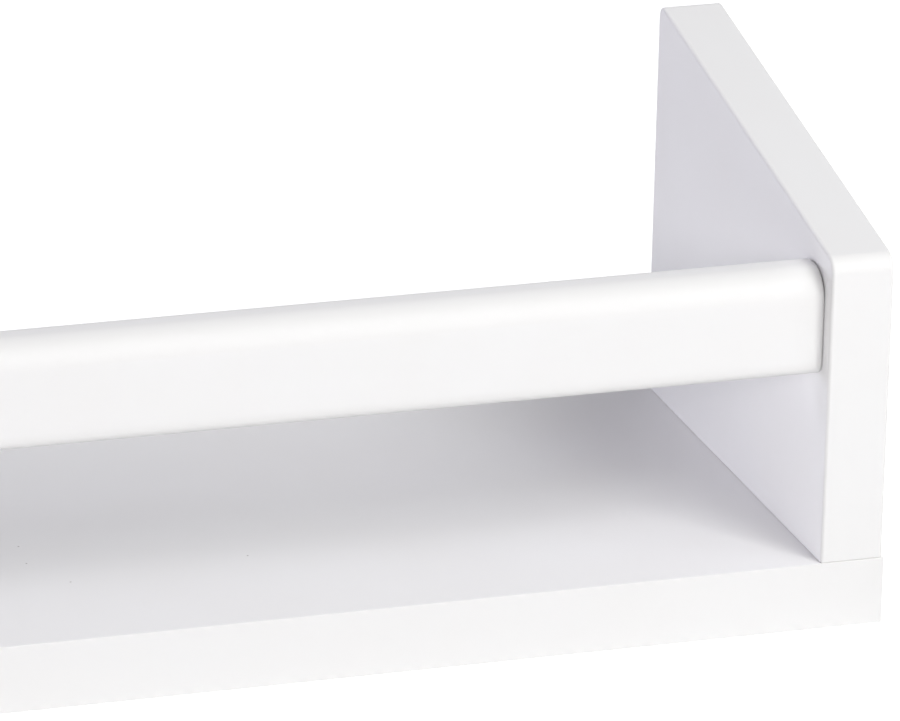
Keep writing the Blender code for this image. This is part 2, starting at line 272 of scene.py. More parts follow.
def disc(name: str, radius: float, height: float, sides: int = ROUND_SIDES) -> Object:
    """Add a flat round face about the Z axis.

    Args:
        name: Name of the piece.
        radius: Its radius.
        height: Its height.
        sides: Number of facets around.

    Returns:
        The disc.
    """
    bpy.ops.object.select_all(action="DESELECT")
    bpy.ops.mesh.primitive_circle_add(
        vertices=sides, radius=radius, fill_type="NGON", location=(0.0, 0.0, height)
    )
    return added(name)


def face_outwards() -> None:
    """Turn all faces of the piece in edit mode outwards."""
    bpy.ops.mesh.select_all(action="SELECT")
    bpy.ops.mesh.normals_make_consistent(inside=False)


def turned(name: str, profile: Profile, sides: int = ROUND_SIDES) -> Object:
    """Draw a solid about the Z axis out of a disc, station by station.

    Args:
        name: Name of the piece.
        profile: Radius and height of each station. A last radius of 0 closes the piece to a point.
        sides: Number of facets around.

    Returns:
        The solid.
    """
    (radius, height), *stations = profile
    piece = disc(name, radius, height, sides)
    with editing(piece, Element.FACE):
        bpy.ops.mesh.select_all(action="SELECT")
        for next_radius, next_height in stations:
            bpy.ops.mesh.extrude_region_move(
                TRANSFORM_OT_translate={"value": (0.0, 0.0, next_height - height)}
            )
            if next_radius == 0.0:
                bpy.ops.mesh.merge(type="CENTER")
                break
            share = next_radius / radius
            bpy.ops.transform.resize(value=(share, share, 1.0), center_override=(0.0, 0.0, next_height))
            radius, height = next_radius, next_height
        face_outwards()
    return piece


def stadium(name: str, width: float, low: float, high: float, top: float, bottom: float) -> Object:
    """Draw a flat solid with round ends, upright along Y.

    Args:
        name: Name of the piece.
        width: Width of the solid, and diameter of its ends.
        low: Y of the lower end's centre.
        high: Y of the upper end's centre.
        top: Z of its upper face.
        bottom: Z of its lower face.

    Returns:
        The solid.
    """
    piece = disc(name, width / 2, top)
    with editing(piece, Element.VERT):
        pick_verts(piece, lambda vert: vert.co.y > SAME_PLACE)
        bpy.ops.transform.translate(value=(0.0, high, 0.0))
        bpy.ops.mesh.select_all(action="INVERT")
        bpy.ops.transform.translate(value=(0.0, low, 0.0))
        bpy.ops.mesh.select_all(action="SELECT")
        bpy.ops.mesh.extrude_region_move(TRANSFORM_OT_translate={"value": (0.0, 0.0, bottom - top)})
        face_outwards()
    return piece


def round_edges(
    piece: Object, radius: float, segments: int, wanted: Callable[[BMEdge], bool], fullness: float = 0.5
) -> None:
    """Round the edges that a test wants.

    Args:
        piece: The piece to round.
        radius: How far the rounding reaches on either side of the edge.
        segments: Number of facets across the rounding.
        wanted: The test.
        fullness: Form of the rounding, from a quarter circle at 0.5 towards the square edge at 1.
    """
    with editing(piece, Element.EDGE):
        pick_edges(piece, wanted)
        bpy.ops.mesh.bevel(
            offset=radius, segments=segments, profile=fullness, affect="EDGES", clamp_overlap=True
        )


def combine(piece: Object, change: Change, *tools: Object) -> None:
    """Change a piece by the shape of each tool, and remove the tools.

    Args:
        piece: The piece to change.
        change: What is done with a tool's shape.
        tools: The shapes to add or to take out.
    """
    for tool in tools:
        only(piece)
        bpy.ops.object.modifier_add(type="BOOLEAN")
        boolean = piece.modifiers[-1]
        boolean.operation = change.value
        boolean.solver = "EXACT"
        boolean.object = tool
        bpy.ops.object.modifier_apply(modifier=boolean.name)
        bpy.data.meshes.remove(tool.data)


def cut(piece: Object, *tools: Object) -> None:
    """Take the shape of each tool out of a piece."""
    combine(piece, Change.TAKE_OUT, *tools)


def wound_ridge(name: str, foot: float, crest: float, low: float, pitch: float, turns: int) -> Object:
    """Wind a sharp ridge round the Z axis as a right-hand thread, which runs out at both ends.

    Args:
        name: Name of the piece.
        foot: Radius at its base.
        crest: Radius at its sharp edge.
        low: Height that its sharp edge starts at.
        pitch: Rise with each turn, which is twice the width of its base.
        turns: Number of turns.

    Returns:
        The ridge, closed at its ends.
    """
    across = (crest - foot) / TRIANGLE_HEIGHT
    along = pitch / 4 / TRIANGLE_HALF_BASE
    bpy.ops.object.select_all(action="DESELECT")
    bpy.ops.mesh.primitive_circle_add(
        vertices=TRIANGLE_SIDES,
        radius=1.0,
        location=(foot + across / 2, 0.0, low),
        rotation=(-math.pi / 2, -math.pi / 2, 0.0),
    )
    bpy.context.active_object.scale = (along, across, 1.0)
    ridge = added(name)
    bpy.ops.object.modifier_add(type="SCREW")
    winding = ridge.modifiers[-1]
    winding.axis = "Z"
    winding.steps = winding.render_steps = THREAD_SIDES
    winding.iterations = turns
    winding.screw_offset = pitch
    bpy.ops.object.modifier_apply(modifier=winding.name)
    with editing(ridge, Element.VERT):
        bpy.ops.mesh.select_non_manifold()
        bpy.ops.mesh.fill_holes(sides=TRIANGLE_SIDES)
        run_out = THREAD_SIDES // 2
        for step in range(run_out):
            share = (foot + (crest - foot) * (step + 1) / (run_out + 1)) / crest
            for ring in (step, turns * THREAD_SIDES - step):
                height = low + pitch * ring / THREAD_SIDES

                def on_crest(vert: BMVert) -> bool:
                    """Whether a vertex of this ring lies on the sharp edge."""
                    return abs(vert.co.z - height) < SAME_PLACE and vert.co.xy.length > crest - SAME_PLACE

                bpy.ops.mesh.select_all(action="DESELECT")
                pick_verts(ridge, on_crest)
                bpy.ops.transform.resize(value=(share, share, 1.0), center_override=ORIGIN)
        face_outwards()
        # A quarter of a facet keeps the ridge's edges off those of the core that it is joined to
        quarter_facet = math.tau / ROUND_SIDES / 4
        bpy.ops.transform.rotate(value=quarter_facet, orient_axis="Z", center_override=ORIGIN)
    return ridge


def smooth(piece: Object) -> None:
    """Shade a piece smooth, with square edges kept sharp and flat faces kept flat up to their roundings.

    Args:
        piece: The piece to shade.
    """
    only(piece)
    bpy.ops.object.shade_smooth_by_angle(angle=SMOOTH_ANGLE)
    bpy.ops.object.modifier_add(type="WEIGHTED_NORMAL")
    weighted = piece.modifiers[-1]
    weighted.weight = FLAT_FACE_WEIGHT
    weighted.keep_sharp = True
    bpy.ops.object.modifier_apply(modifier=weighted.name)


def mark_roundings(piece: Object, flats: Sequence[Vector]) -> None:
    """Write a vertex attribute that is 1 on the rounded edges and 0 on the flat faces.

    Args:
        piece: The piece to mark.
        flats: Directions that its flat faces look in, or the opposite way.
    """
    mesh = piece.data
    marks = mesh.attributes.new(ROUNDING, "FLOAT", "POINT")
    marks.data.foreach_set("value", [1.0] * len(mesh.vertices))
    for face in mesh.polygons:
        if any(abs(face.normal.dot(flat)) > math.cos(FLAT_ANGLE) for flat in flats):
            for vertex in face.vertices:
                marks.data[vertex].value = 0.0


def copy_of(piece: Object, name: str) -> Object:
    """Copy a piece with its mesh.

    Args:
        piece: The piece to copy.
        name: Name of the copy.

    Returns:
        The copy.
    """
    only(piece)
    bpy.ops.object.duplicate(linked=False)
    double = bpy.context.active_object
    double.name = double.data.name = name
    return double


def put(piece: Object, place: Matrix) -> Object:
    """Move a piece and keep the move in its mesh.

    Args:
        piece: The piece to move.
        place: Where it goes.

    Returns:
        The piece.
    """
    only(piece)
    piece.matrix_world = place
    bpy.ops.object.transform_apply(location=True, rotation=True, scale=True)
    return piece


def seat(node: str, facing: Facing) -> Matrix:
    """Find the place of a fitting whose face lies at height 0, on the face of its solid.

    Args:
        node: The solid.
        facing: The way that its face looks.

    Returns:
        The place.
    """
    low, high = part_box(node)
    turn = Euler(facing.value).to_matrix()
    outward = turn @ Vector((0.0, 0.0, 1.0))
    reach = sum(abs(part) * size for part, size in zip(outward, high - low)) / 2
    return Matrix.Translation((low + high) / 2 + outward * reach) @ turn.to_4x4()


def length_of(node: str) -> float:
    """The longest side of a solid."""
    low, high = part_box(node)
    return max(high - low)


def width_of(node: str) -> float:
    """The middle side of a solid, which is the diameter of a long round one."""
    low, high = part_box(node)
    return sorted(high - low)[1]


def finished(node: str) -> str:
    """The name of the piece that stands for a solid."""
    return node + "_finished"


def dress(piece: Object, node: str, finish: Material) -> Object:
    """Give a finished piece its material, and let it ride and stand for its solid.

    Args:
        piece: The piece, in place.
        node: The solid that it stands for.
        finish: The piece's material.

    Returns:
        The piece.
    """
    piece.data.materials.clear()
    piece.data.materials.append(finish)
    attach(piece, BODY)
    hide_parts(node)
    LOG.info("%s stands for %s with %d faces", piece.name, node, len(piece.data.polygons))
    return piece


# Finishes


class Shading:
    """A node tree, with short ways to add nodes and to join them."""

    def __init__(self, tree: NodeTree) -> None:
        """Start from an empty tree."""
        self.tree = tree
        tree.nodes.clear()

    def feed(self, node: Node, inputs: Inputs) -> None:
        """Set the inputs of a node.

        Args:
            node: The node.
            inputs: A value or another node's socket for each input, by its name or number.
        """
        for key, value in inputs.items():
            if isinstance(value, NodeSocket):
                self.tree.links.new(value, node.inputs[key])
            else:
                node.inputs[key].default_value = value

    def add(self, kind: str, inputs: Inputs | None = None, **settings: object) -> Node:
        """Add a node.

        Args:
            kind: The node's type, without the ShaderNode that all of them start with.
            inputs: A value or another node's socket for each input, by its name or number.
            settings: The node's own settings.

        Returns:
            The node.
        """
        node = self.tree.nodes.new("ShaderNode" + kind)
        for name, value in settings.items():
            setattr(node, name, value)
        self.feed(node, inputs or {})
        return node

    def place(self) -> NodeSocket:
        """The Object coordinates of the surface."""
        return self.add("TexCoord").outputs["Object"]

    def math(self, operation: str, *values: float | NodeSocket) -> NodeSocket:
        """The result of a Math node."""
        return self.add("Math", dict(enumerate(values)), operation=operation).outputs[0]

    def noise(self, place: NodeSocket, scale: NodeSocket, detail: float) -> NodeSocket:
        """The value of a noise texture, from 0 to 1."""
        return self.add("TexNoise", {"Vector": place, "Scale": scale, "Detail": detail}).outputs["Fac"]

    def ranged(
        self, value: NodeSocket, span: tuple[float, float], first: float = 0.0, last: float = 1.0
    ) -> NodeSocket:
        """A value taken from its own span to the one from first to last, and held there."""
        inputs = {"Value": value, "From Min": span[0], "From Max": span[1], "To Min": first, "To Max": last}
        return self.add("MapRange", inputs).outputs["Result"]

    def mixed(
        self, share: NodeSocket, first: Colour | NodeSocket, last: Colour | NodeSocket
    ) -> NodeSocket:
        """Blend two colours.

        Args:
            share: Share of the last colour.
            first: The colour at a share of 0.
            last: The colour at a share of 1.

        Returns:
            The blend.
        """
        node = self.add("Mix", data_type="RGBA")
        sockets = {socket.identifier: socket for socket in (*node.inputs, *node.outputs)}
        self.tree.links.new(share, sockets["Factor_Float"])
        for name, colour in (("A_Color", first), ("B_Color", last)):
            if isinstance(colour, NodeSocket):
                self.tree.links.new(colour, sockets[name])
            else:
                sockets[name].default_value = (*colour, 1.0)
        return sockets["Result_Color"]

    def raised(self, height: NodeSocket, depth: float) -> NodeSocket:
        """The normal of a surface that a height from 0 to 1 raises by up to a depth."""
        return self.add("Bump", {"Height": height, "Strength": 1.0, "Distance": depth}).outputs["Normal"]

    def group(self, tree: NodeTree, inputs: Inputs) -> Node:
        """A shared effect, with the values that it has here."""
        return self.add("Group", inputs, node_tree=tree)


def effect(name: str, inputs: dict[str, str], outputs: dict[str, str]) -> tuple[Shading, Node, Node]:
    """Start a node group for an effect that several finishes share.

    Args:
        name: Name of the group.
        inputs: Kind of each input socket, by name.
        outputs: Kind of each output socket, by name.

    Returns:
        The group's shading, its input node and its output node.
    """
    tree = bpy.data.node_groups.new(name, "ShaderNodeTree")
    for in_out, sockets in (("INPUT", inputs), ("OUTPUT", outputs)):
        for socket, kind in sockets.items():
            tree.interface.new_socket(socket, in_out=in_out, socket_type="NodeSocket" + kind)
    shading = Shading(tree)
    return shading, tree.nodes.new("NodeGroupInput"), tree.nodes.new("NodeGroupOutput")


@cache
def sprayed_skin() -> NodeTree:
    """Make the surface of sprayed paint: a fine peel on slow ripples, and a faint cloudiness.

    Returns:
        A group with Height and Cloud outputs, both from 0 to 1.
    """
    shading, given, result = effect(
        "sprayed_skin",
        {"Vector": "Vector", "Peel": "Float", "Ripple": "Float"},
        {"Height": "Float", "Cloud": "Float"},
    )
    peel = shading.noise(given.outputs["Vector"], given.outputs["Peel"], detail=1.0)
    ripple = shading.noise(given.outputs["Vector"], given.outputs["Ripple"], detail=2.0)
    slow = shading.math("MULTIPLY", ripple, RIPPLE_SHARE)
    height = shading.math("MULTIPLY_ADD", peel, 1 - RIPPLE_SHARE, slow)
    shading.feed(result, {"Height": height, "Cloud": ripple})
    return shading.tree


@cache
def drawn_streaks() -> NodeTree:
    """Make the fine streaks along Z of drawn metal and of wood, and a cloudy tone.

    Returns:
        A group with Streak and Cloud outputs, both from 0 to 1.
    """
    shading, given, result = effect(
        "drawn_streaks",
        {"Vector": "Vector", "Streaks": "Float", "Clouds": "Float"},
        {"Streak": "Float", "Cloud": "Float"},
    )
    drawn = shading.add("Mapping", {"Vector": given.outputs["Vector"], "Scale": STREAK_SCALE})
    streak = shading.noise(drawn.outputs["Vector"], given.outputs["Streaks"], detail=3.0)
    cloud = shading.noise(given.outputs["Vector"], given.outputs["Clouds"], detail=2.0)
    shading.feed(result, {"Streak": streak, "Cloud": cloud})
    return shading.tree


def tinted(colour: Colour, tint: Colour) -> Colour:
    """A colour multiplied by a tint."""
    return tuple(part * share for part, share in zip(colour, tint))


@dataclass(frozen=True)
class Finish(ABC):
    """A finish of the ledge, which becomes one material named for its slot in the record."""

    slot: str

    @property
    def colour(self) -> Colour:
        """The colour that the record gives the slot."""
        entries = frame["record"]["materials"]
        return next(tuple(entry["base_color"]) for entry in entries if entry["slot"] == self.slot)

    @abstractmethod
    def surface(self, shading: Shading) -> Inputs:
        """The inputs of the finish's shader, made in the material's own tree."""

    @cache
    def material(self) -> Material:
        """Make the material, once.

        Returns:
            The material.
        """
        finish = bpy.data.materials.new(self.slot)
        finish.use_nodes = True
        shading = Shading(finish.node_tree)
        shader = shading.add("BsdfPrincipled", self.surface(shading))
        shading.add("OutputMaterial", {"Surface": shader.outputs["BSDF"]})
        return finish


@dataclass(frozen=True)
class Lacquer(Finish):
    """Satin white lacquer, sprayed on board or on wood, with any grains of dust that lie on it."""

    cloud_tint: Colour = (0.992, 0.988, 0.984)
    cloud_span: tuple[float, float] = (0.35, 0.75)
    # Painted shade: a darker tint on the roundings that damps their highlights
    edge_tint: Colour = (0.990, 0.987, 0.982)
    smoothest: float = 0.53
    roughest: float = 0.60
    edge_polish: float = 0.03
    gloss: float = 0.15
    peel: float = 520.0
    ripple: float = 34.0
    skin_depth: float = 0.00001
    grains: tuple[tuple[float, float, float], ...] = ()
    grain_colour: Colour = (0.42, 0.40, 0.39)
    grain_edge: tuple[float, float] = (0.00014, 0.00028)

    def surface(self, shading: Shading) -> Inputs:
        """Shade the lacquer, with painted shade that darkens the marked roundings to damp their highlights,
        and more polish there.

        Args:
            shading: The material's shading.

        Returns:
            The shader's inputs.
        """
        place = shading.place()
        skin = shading.group(sprayed_skin(), {"Vector": place, "Peel": self.peel, "Ripple": self.ripple})
        edge = shading.add("Attribute", attribute_name=ROUNDING).outputs["Fac"]
        cloud = shading.ranged(skin.outputs["Cloud"], self.cloud_span)
        tone = shading.mixed(cloud, self.colour, tinted(self.colour, self.cloud_tint))
        # Painted shade: the roundings are tinted darker to damp their highlights
        tone = shading.mixed(edge, tone, tinted(self.colour, self.edge_tint))
        for grain in self.grains:
            away = shading.add("VectorMath", {0: place, 1: grain}, operation="DISTANCE").outputs["Value"]
            tone = shading.mixed(shading.ranged(away, self.grain_edge, 1.0, 0.0), tone, self.grain_colour)
        satin = shading.ranged(skin.outputs["Cloud"], NOISE_SPAN, self.smoothest, self.roughest)
        polish = shading.math("MULTIPLY", edge, self.edge_polish)
        return {
            "Base Color": tone,
            "Roughness": shading.math("SUBTRACT", satin, polish),
            "Specular IOR Level": self.gloss,
            "Normal": shading.raised(skin.outputs["Height"], self.skin_depth),
        }


@dataclass(frozen=True)
class ZincPlating(Finish):
    """Bright zinc on steel, a little cloudy and drawn along Z."""

    cloud_tint: Colour = (0.90, 0.92, 0.97)
    smoothest: float = 0.24
    roughest: float = 0.44
    streaks: float = 2600.0
    clouds: float = 160.0
    streak_depth: float = 0.00001

    def surface(self, shading: Shading) -> Inputs:
        """Shade the plating.

        Args:
            shading: The material's shading.

        Returns:
            The shader's inputs.
        """
        plating = shading.group(
            drawn_streaks(), {"Vector": shading.place(), "Streaks": self.streaks, "Clouds": self.clouds}
        )
        streak, cloud = plating.outputs["Streak"], plating.outputs["Cloud"]
        return {
            "Base Color": shading.mixed(cloud, self.colour, tinted(self.colour, self.cloud_tint)),
            "Roughness": shading.ranged(streak, NOISE_SPAN, self.smoothest, self.roughest),
            "Metallic": 1.0,
            "Normal": shading.raised(streak, self.streak_depth),
        }


@dataclass(frozen=True)
class Beech(Finish):
    """Raw turned beech with its short dark flecks."""

    fleck_colour: Colour = (0.46, 0.29, 0.16)
    fleck_span: tuple[float, float] = (0.55, 0.72)
    roughness: float = 0.62
    flecks: float = 900.0
    clouds: float = 150.0
    fleck_depth: float = 0.00003

    def surface(self, shading: Shading) -> Inputs:
        """Shade the wood.

        Args:
            shading: The material's shading.

        Returns:
            The shader's inputs.
        """
        grain = shading.group(
            drawn_streaks(), {"Vector": shading.place(), "Streaks": self.flecks, "Clouds": self.clouds}
        )
        fleck = shading.ranged(grain.outputs["Streak"], self.fleck_span)
        return {
            "Base Color": shading.mixed(fleck, self.colour, self.fleck_colour),
            "Roughness": self.roughness,
            "Normal": shading.raised(fleck, self.fleck_depth),
        }


@dataclass(frozen=True)
class MouldedPlastic(Finish):
    """White plastic from a finely sparked mould."""

    cloud_tint: Colour = (0.985, 0.985, 0.975)
    smoothest: float = 0.36
    roughest: float = 0.46
    sparks: float = 2400.0
    clouds: float = 120.0
    spark_depth: float = 0.00003

    def surface(self, shading: Shading) -> Inputs:
        """Shade the plastic.

        Args:
            shading: The material's shading.

        Returns:
            The shader's inputs.
        """
        skin = shading.group(
            sprayed_skin(), {"Vector": shading.place(), "Peel": self.sparks, "Ripple": self.clouds}
        )
        height, cloud = skin.outputs["Height"], skin.outputs["Cloud"]
        return {
            "Base Color": shading.mixed(cloud, self.colour, tinted(self.colour, self.cloud_tint)),
            "Roughness": shading.ranged(height, NOISE_SPAN, self.smoothest, self.roughest),
            "Normal": shading.raised(height, self.spark_depth),
        }


# Hardware


class Hardware(ABC):
    """Fittings of one kind: one model, copied to each solid of the kind."""

    slot: str

    @property
    @abstractmethod
    def seats(self) -> dict[str, Facing]:
        """The solids of this kind, with the way that each one faces."""

    @abstractmethod
    def model(self) -> Object:
        """The fitting at the origin, with +Z out of its face."""

    @abstractmethod
    def finish(self) -> Finish:
        """The fitting's finish."""

    def any_node(self) -> str:
        """One of the solids, which are all alike."""
        return next(iter(self.seats))

    def hole(self, node: str, profile: Profile) -> Object:
        """The tool that cuts a turned hole at a solid."""
        return put(turned("bore", profile), seat(node, self.seats[node]))

    def build(self) -> None:
        """Put a dressed copy of the model in place of each solid."""
        model = self.model()
        smooth(model)
        material = self.finish().material()
        for node, facing in self.seats.items():
            piece = put(copy_of(model, finished(node)), seat(node, facing))
            dress(piece, node, material)
        bpy.data.meshes.remove(model.data)


@dataclass(frozen=True)
class Screw(Hardware):
    """A kind of screw, with its face at height 0 and its point below."""

    kind: str
    places: tuple[str, ...]
    facings: tuple[Facing, ...]
    head: Head
    drive: Drive
    shank: float
    core: float
    pitch: float
    plain_neck: float
    thread_root: float = 0.0001
    head_height: float = 0.0003
    crown: float = 0.0001
    socket: float = 0.003
    socket_depth: float = 0.0018
    cross_span: float = 0.003
    cross_width: float = 0.0009
    cross_depth: float = 0.001
    cross_taper: float = 0.55
    slot: str = "screw_zinc"

    @property
    def seats(self) -> dict[str, Facing]:
        """The screws' solids, with the way that each head faces."""
        return {f"{self.kind}_{place}": facing for place, facing in zip(self.places, self.facings)}

    def finish(self) -> Finish:
        """Bright zinc."""
        return ZincPlating(self.slot)

    def profile(self, grow: float = 0.0, rise: float = 0.0, crown: float = 0.0) -> Profile:
        """Draw the screw's outline, or that of a bore around it.

        Args:
            grow: Clearance all round.
            rise: How far the face is drawn out.
            crown: Easing of the head's rim.

        Returns:
            Stations from the face to the point.
        """
        length = length_of(self.any_node())
        head = width_of(self.any_node()) / 2 + grow
        neck = self.shank / 2 + grow
        if self.head is Head.PAN:
            under = -self.head_height - grow
            shoulder = [(head, under), (neck, under)]
        else:
            shoulder = [(head, -self.head_height), (neck, -self.head_height - (head - neck))]
        rim = [(head - crown, rise), (head, rise - crown)] if crown else [(head, rise)]
        return [*rim, *shoulder, (neck, self.shank - length - grow), (0.0, -length - grow)]

    def model(self) -> Object:
        """Turn a screw with a plain neck, wind a thread round its core and sink its drive into the head.

        Returns:
            The screw.
        """
        *upper, (neck, cone), point = self.profile(crown=self.crown)
        core = self.core / 2
        thread_top = upper[-1][1] - self.plain_neck
        stations = [(neck, thread_top), (core, thread_top - (neck - core)), (core, cone)]
        piece = turned(self.kind, [*upper, *stations, point])
        turns = int((thread_top - cone) / self.pitch - 1)
        low = cone + self.pitch / 2
        thread = wound_ridge("thread", core - self.thread_root, neck, low, self.pitch, turns)
        combine(piece, Change.ADD, thread)
        cut(piece, self.socket_tool() if self.drive is Drive.HEXAGON else self.cross_tool())
        return piece

    def socket_tool(self) -> Object:
        """Make a hexagon that sinks from above the face, with a drill's cone at its bottom.

        Returns:
            The tool.
        """
        corner = self.socket / math.sqrt(3)
        floor = -self.socket_depth
        drill, cone, tip = corner / 3, floor - corner / 4, floor - corner / 3
        return turned("socket_tool", [(corner, -floor), (corner, floor), (drill, cone), (0.0, tip)], sides=6)

    def cross_tool(self) -> Object:
        """Make a cross that narrows downwards, drawn out of a square core.

        Returns:
            The tool.
        """
        half = Vector((self.cross_width, self.cross_width, 2 * self.cross_depth)) / 2
        tool = block("cross_tool", -half, half)
        reach = (self.cross_span - self.cross_width) / 2
        along_x, along_y, _ = AXES
        for way in (along_x, along_y, -along_x, -along_y):
            with editing(tool, Element.FACE):
                faces = bmesh.from_edit_mesh(tool.data).faces
                arm = max(faces, key=lambda face: face.calc_center_median().dot(way))
                arm.select_set(True)
                bpy.ops.mesh.extrude_region_move(TRANSFORM_OT_translate={"value": way * reach})
        with editing(tool, Element.VERT):
            pick_verts(tool, lambda vert: vert.co.z < 0)
            bpy.ops.transform.resize(
                value=(self.cross_taper, self.cross_taper, 1.0), center_override=ORIGIN
            )
        return tool

    def bore(self, node: str, rise: float) -> Object:
        """The tool for the hole that a screw needs, open by a rise above its face."""
        return self.hole(node, self.profile(CLEARANCE, rise))


@dataclass(frozen=True)
class Dowel(Hardware):
    """Fluted dowels, with their upper end at height 0."""

    chamfer: float = 0.0009
    flutes: int = 16
    flute_depth: float = 0.00022
    facets_per_flute: int = 3
    slot: str = "dowel_beech"

    @property
    def seats(self) -> dict[str, Facing]:
        """The dowels' solids, with the way that one end faces."""
        upright = {f"panel_dowel_{side.word}_{row}": Facing.DOWN for side in Side for row in ROWS}
        return upright | {f"rail_dowel_{side.word}": Facing[side.name] for side in Side}

    def finish(self) -> Finish:
        """Raw beech."""
        return Beech(self.slot)

    def model(self) -> Object:
        """Turn a chamfered rod and draw in one of its edges for each flute.

        Returns:
            The dowel.
        """
        length = length_of(self.any_node())
        radius = width_of(self.any_node()) / 2
        tip = radius - self.chamfer
        profile = [(tip, 0.0), (radius, -self.chamfer), (radius, self.chamfer - length), (tip, -length)]
        sides = self.facets_per_flute * self.flutes
        piece = turned("dowel", profile, sides)

        def in_flute(vert: BMVert) -> bool:
            """Whether a vertex lies at the bottom of a flute."""
            return round(math.atan2(vert.co.y, vert.co.x) * sides / math.tau) % self.facets_per_flute == 0

        with editing(piece, Element.VERT):
            pick_verts(piece, in_flute)
            share = 1 - self.flute_depth / radius
            bpy.ops.transform.resize(value=(share, share, 1.0), center_override=ORIGIN)
        return piece

    def bore(self, node: str) -> Object:
        """The tool for the hole that a dowel needs, with its clearance all round."""
        radius = width_of(node) / 2 + CLEARANCE
        return self.hole(node, [(radius, CLEARANCE), (radius, -length_of(node) - CLEARANCE)])


@dataclass(frozen=True)
class CoverCap(Hardware):
    """Low domed caps over the rail screws, with the top of the dome at height 0."""

    rim: float = 0.0005
    dome: float = 0.0009
    stem: float = 0.00425
    dome_steps: int = 10
    slot: str = "cap_plastic"

    @property
    def seats(self) -> dict[str, Facing]:
        """The caps' solids, each facing out of its end of the ledge."""
        return {f"screw_cap_{side.word}": Facing[side.name] for side in Side}

    def finish(self) -> Finish:
        """Moulded white plastic."""
        return MouldedPlastic(self.slot)

    def model(self) -> Object:
        """Turn a dome that runs down to a thin rim, with the stem below.

        Returns:
            The cap.
        """
        low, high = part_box(self.any_node())
        depth = min(high - low)
        radius = max(high - low) / 2
        turns = [math.pi / 2 * step / self.dome_steps for step in range(1, self.dome_steps + 1)]
        crown = [(radius * math.sin(turn), self.dome * (math.cos(turn) - 1)) for turn in turns]
        foot = -self.dome - self.rim
        below = [(radius, foot), (self.stem, foot), (self.stem, -depth)]
        return turned("screw_cap", crown + below)


@dataclass(frozen=True)
class HangingPlate(Hardware):
    """Steel plates with a keyhole, let into the back edges of the end panels."""

    screw: Screw
    stamped_edge: float = 0.0002
    stamped_segments: int = 2
    entry: float = 0.007
    slot_width: float = 0.0038
    travel: float = 0.009
    drop: float = 0.004
    head_room: float = 0.006
    slot: str = "plate_zinc"
    streaks: float = 1800.0
    clouds: float = 90.0

    @property
    def seats(self) -> dict[str, Facing]:
        """The plates' solids, all facing the wall."""
        return {f"keyhole_plate_{side.word}": Facing.WALL for side in Side}

    @property
    def sizes(self) -> Vector:
        """Width, thickness and length of a plate."""
        low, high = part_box(self.any_node())
        return high - low

    def finish(self) -> Finish:
        """Bright zinc on sheet steel."""
        return ZincPlating(self.slot, streaks=self.streaks, clouds=self.clouds)

    def model(self) -> Object:
        """Draw a plate with round ends and broken edges, a keyhole and two countersunk holes.

        Returns:
            The plate.
        """
        width, thickness, length = self.sizes
        straight = (length - width) / 2
        plate = stadium("keyhole_plate", width, -straight, straight, 0.0, -thickness)
        rise, below = CUT_BREAK, -thickness - CUT_BREAK
        lowest, highest = -self.drop, self.travel - self.drop
        cut(
            plate,
            stadium("entry_tool", self.entry, lowest, lowest + SAME_PLACE, rise, below),
            stadium("slot_tool", self.slot_width, lowest, highest, rise, below),
        )
        centre = seat(self.any_node(), Facing.WALL)
        side = self.any_node().rpartition("_")[2]
        for node in self.screw.seats:
            if side in node.split("_"):
                cut(plate, put(self.screw.bore(node, CUT_BREAK), centre.inverted()))
        round_edges(plate, self.stamped_edge, self.stamped_segments, is_square)
        return plate

    def recesses(self, node: str) -> list[Object]:
        """Make the pocket that a plate lies in, and the deeper slot behind it for the head of the wall screw.

        Args:
            node: The plate's solid.

        Returns:
            The tools that cut them out of the panel's edge.
        """
        width, thickness, length = self.sizes
        straight = (length - width) / 2
        floor = -thickness - CLEARANCE
        lowest, highest = -self.drop, self.travel - self.drop
        room = self.entry + 2 * CLEARANCE
        tools = [
            stadium("pocket_tool", width + 2 * CLEARANCE, -straight, straight, CUT_BREAK, floor),
            stadium("room_tool", room, lowest, highest, floor + CUT_BREAK, floor - self.head_room),
        ]
        return [put(tool, seat(node, Facing.WALL)) for tool in tools]


PANEL_PLACES = tuple(f"{side.word}_{row}" for side in Side for row in ROWS)
PLATE_PLACES = tuple(f"{side.word}_{level}" for side in Side for level in LEVELS)
PANEL_SCREWS = Screw(
    "panel_screw",
    PANEL_PLACES,
    (Facing.DOWN,) * len(PANEL_PLACES),
    Head.COUNTERSUNK,
    Drive.HEXAGON,
    shank=0.004,
    core=0.0027,
    pitch=0.0018,
    plain_neck=0.011,
)
RAIL_SCREWS = Screw(
    "rail_screw",
    tuple(side.word for side in Side),
    tuple(Facing[side.name] for side in Side),
    Head.PAN,
    Drive.HEXAGON,
    shank=0.0045,
    core=0.0031,
    pitch=0.002,
    plain_neck=0.009,
    head_height=0.003,
    crown=0.0008,
)
PLATE_SCREWS = Screw(
    "plate_screw",
    PLATE_PLACES,
    (Facing.WALL,) * len(PLATE_PLACES),
    Head.COUNTERSUNK,
    Drive.CROSS,
    shank=0.003,
    core=0.002,
    pitch=0.00135,
    plain_neck=0.0005,
)
DOWELS = Dowel()
CAPS = CoverCap()
PLATES = HangingPlate(PLATE_SCREWS)


# Boards


def lacquered(piece: Object, node: str, flats: Sequence[Vector], lacquer: Lacquer) -> Object:
    """Shade a modelled board, mark its roundings and lacquer it.

    Args:
        piece: The board, in place.
        node: The solid that it stands for.
        flats: Directions that its flat faces look in, or the opposite way.
        lacquer: Its lacquer.

    Returns:
        The board.
    """
    smooth(piece)
    mark_roundings(piece, flats)
    return dress(piece, node, lacquer.material())


